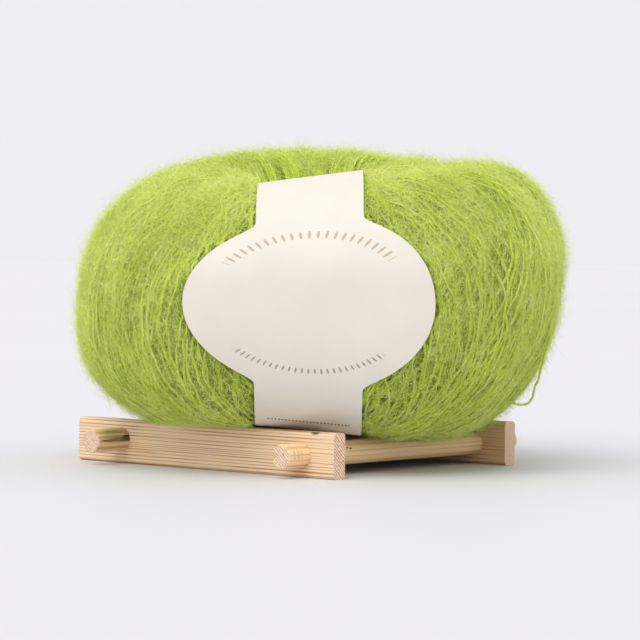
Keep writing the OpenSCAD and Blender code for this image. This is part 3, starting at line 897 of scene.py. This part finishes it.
outer_face = on_stand(card_face(card_clear + card_thick, 0.05))
inner_face = on_stand(card_face(card_clear, 0.05))
mid_face = on_stand(card_face(card_clear + card_thick / 2, 0.0))
edge_count = across_steps + 1
card_points = np.concatenate([outer_face, mid_face[:, -1:], inner_face[:, ::-1], mid_face[:, :1]], axis=1)
card_ring = card_points.shape[1]
i, j = np.meshgrid(np.arange(band_steps), np.arange(card_ring), indexing="ij")
ni, nj = (i + 1) % band_steps, (j + 1) % card_ring
quads = np.stack([i * card_ring + j, i * card_ring + nj, ni * card_ring + nj, ni * card_ring + j], -1)
card_band = make_mesh("card_band", card_points.reshape(-1, 3), quads.reshape(-1, 4))
far_off = np.full((band_steps, card_ring - edge_count, 2), 500.0)
run_place = np.broadcast_to(band_run[:, None] - oval_run, u.shape)
print_place = np.concatenate([np.stack([u, run_place], -1), far_off], 1)
layer = card_band.data.uv_layers.new(name="print_place")
corner_points = np.empty(len(card_band.data.loops), np.int32)
card_band.data.loops.foreach_get("vertex_index", corner_points)
layer.data.foreach_set("uv", print_place.reshape(-1, 2)[corner_points].astype(np.float32).ravel())


def card_stock_group():
    """Card: a slightly cloudy tint, and fibres pressed flat in its face."""
    group, inside, outside = new_group("card_stock", [("Dark", "Color"), ("Light", "Color")],
                                       [("Colour", "Color"), ("Height", "Float")])
    cloud = noise(group, stretched(group, (60, 60, 60)), 1, 3)
    fibre = noise(group, stretched(group, (1400, 1400, 1400)), 1, 3, 0.7)
    lightness = ramp(group, cloud, [(0.3, (0, 0, 0)), (0.7, (1, 1, 1))])
    group.links.new(blend_colours(group, lightness, inside.outputs["Dark"], inside.outputs["Light"]),
                    outside.inputs["Colour"])
    group.links.new(fibre, outside.inputs["Height"])
    return group


card_stock = card_stock_group()


def curved_row(tree, angle, off_line, middle, half_arc, pitch, tall, wide, slope):
    """One row of small leaf-shaped marks along an arc of the panel's inner oval."""
    turned_by = maths(tree, "SUBTRACT", angle, middle)
    within = maths(tree, "LESS_THAN", maths(tree, "ABSOLUTE", turned_by), half_arc)
    step = maths(tree, "ADD", maths(tree, "DIVIDE", turned_by, pitch), 100.5)
    cell = maths(tree, "ABSOLUTE", maths(tree, "SUBTRACT", maths(tree, "FRACT", step), 0.5))
    shape = maths(tree, "ADD", maths(tree, "DIVIDE", cell, wide),
                  maths(tree, "MULTIPLY", maths(tree, "DIVIDE", off_line, tall), slope))
    mark = maths(tree, "MULTIPLY", maths(tree, "LESS_THAN", shape, 1.0),
                 maths(tree, "LESS_THAN", off_line, tall))
    return maths(tree, "MULTIPLY", maths(tree, "MULTIPLY", mark, within), 0.85)


def printing(tree, colour):
    """Plain marks in two brown inks inside the oval, and a fine dashed row near the foot."""
    place = add(tree, "UVMap")
    place.uv_map = "print_place"
    split = add(tree, "SeparateXYZ", Vector=place.outputs[0])
    x = maths(tree, "DIVIDE", split.outputs[0], 33.5)
    y = maths(tree, "DIVIDE", split.outputs[1], 22.2)
    far = maths(tree, "SQRT", maths(tree, "ADD", maths(tree, "MULTIPLY", x, x),
                                    maths(tree, "MULTIPLY", y, y)))
    off_line = maths(tree, "ABSOLUTE", maths(tree, "SUBTRACT", far, 1.0))
    angle = maths(tree, "ARCTAN2", y, x)
    upper = curved_row(tree, angle, off_line, -math.pi / 2, 0.93, 0.085, 0.058, 0.19, 0.55)
    lower = curved_row(tree, angle, off_line, math.pi / 2, 0.80, 0.062, 0.038, 0.2, 0.5)
    colour = blend_colours(tree, upper, colour, (0.45, 0.37, 0.23))
    colour = blend_colours(tree, lower, colour, (0.33, 0.28, 0.19))
    foot_line = maths(tree, "ABSOLUTE", maths(tree, "SUBTRACT", split.outputs[1], 44.2))
    dash = maths(tree, "FRACT", maths(tree, "ADD", maths(tree, "DIVIDE", split.outputs[0], 1.15), 100))
    foot = maths(tree, "MULTIPLY", maths(tree, "LESS_THAN", foot_line, 0.5),
                 maths(tree, "GREATER_THAN", dash, 0.38))
    within = maths(tree, "LESS_THAN", maths(tree, "ABSOLUTE", split.outputs[0]), 13.5)
    foot = maths(tree, "MULTIPLY", maths(tree, "MULTIPLY", foot, within), 0.75)
    return blend_colours(tree, foot, colour, (0.10, 0.08, 0.06))


def card_material(name, printed):
    material, tree, shader = new_material(name)
    stock = placed(tree, card_stock, Dark=(0.735, 0.695, 0.605), Light=(0.77, 0.73, 0.64))
    colour = printing(tree, stock["Colour"]) if printed else stock["Colour"]
    tree.links.new(colour, shader.inputs["Base Color"])
    relief = add(tree, "Bump", Height=stock["Height"], Strength=0.12, Distance=0.0001)
    tree.links.new(relief.outputs[0], shader.inputs["Normal"])
    rough = maths(tree, "ADD", maths(tree, "MULTIPLY", stock["Height"], 0.2), 0.45)
    tree.links.new(rough, shader.inputs["Roughness"])
    shader.inputs["Specular IOR Level"].default_value = 0.4
    return material


card_band.data.materials.append(card_material("printed_card", True))
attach(card_band, "ball")
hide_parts("label_band")

# Glued overlap: the strip's end lies on its other end inside the slit, where a dab of glue
# holds it. It is the same card, unprinted.
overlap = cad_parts["band_overlap"]
overlap.data.materials.clear()
overlap.data.materials.append(card_material("plain_card", False))

# Table: a pale matt table top that runs out past the view, so that it meets the background
# without an edge.
table_rings = 40
ring_radius = np.concatenate([[0.02], np.geomspace(0.2, 9.0, table_rings - 1)])
table_angle = np.arange(96) * 2 * np.pi / 96
table_points = np.stack([ring_radius[:, None] * np.cos(table_angle),
                         ring_radius[:, None] * np.sin(table_angle),
                         np.full((table_rings, 96), -0.00005)], -1).reshape(-1, 3)
i, j = np.meshgrid(np.arange(table_rings - 1), np.arange(96), indexing="ij")
k = (j + 1) % 96
quads = np.stack([i * 96 + j, (i + 1) * 96 + j, (i + 1) * 96 + k, i * 96 + k], -1).reshape(-1, 4)
middle = np.stack([np.zeros(94, int), np.arange(1, 95), np.arange(2, 96)], -1)
table = make_mesh("table", table_points, quads, middle)
table_paint, tree, shader = new_material("table_paint")
grey = noise(tree, stretched(tree, (3, 3, 3)), 1, 2)
tree.links.new(ramp(tree, grey, [(0.3, (0.69, 0.685, 0.71)), (0.7, (0.70, 0.695, 0.72))]),
               shader.inputs["Base Color"])
shader.inputs["Roughness"].default_value = 0.6
shader.inputs["Specular IOR Level"].default_value = 0.3
table.data.materials.append(table_paint)

# Light: an even pale room, and one broad diffused light from above and in front.
world = bpy.data.worlds.new("studio")
world.use_nodes = True
world.node_tree.nodes["Background"].inputs["Color"].default_value = (0.86, 0.853, 0.892, 1)
world.node_tree.nodes["Background"].inputs["Strength"].default_value = 1.0
bpy.context.scene.world = world
bpy.context.scene.view_settings.view_transform = "Standard"
sky = bpy.data.objects.new("overhead_diffuser", bpy.data.lights.new("overhead_diffuser", "SUN"))
sky.data.energy = 1.5
sky.data.angle = math.radians(50)
sky.data.color = (1.0, 0.99, 0.965)
sky.rotation_euler = Vector((-0.14, 0.54, -0.85)).to_track_quat("-Z", "Y").to_euler()
bpy.context.collection.objects.link(sky)
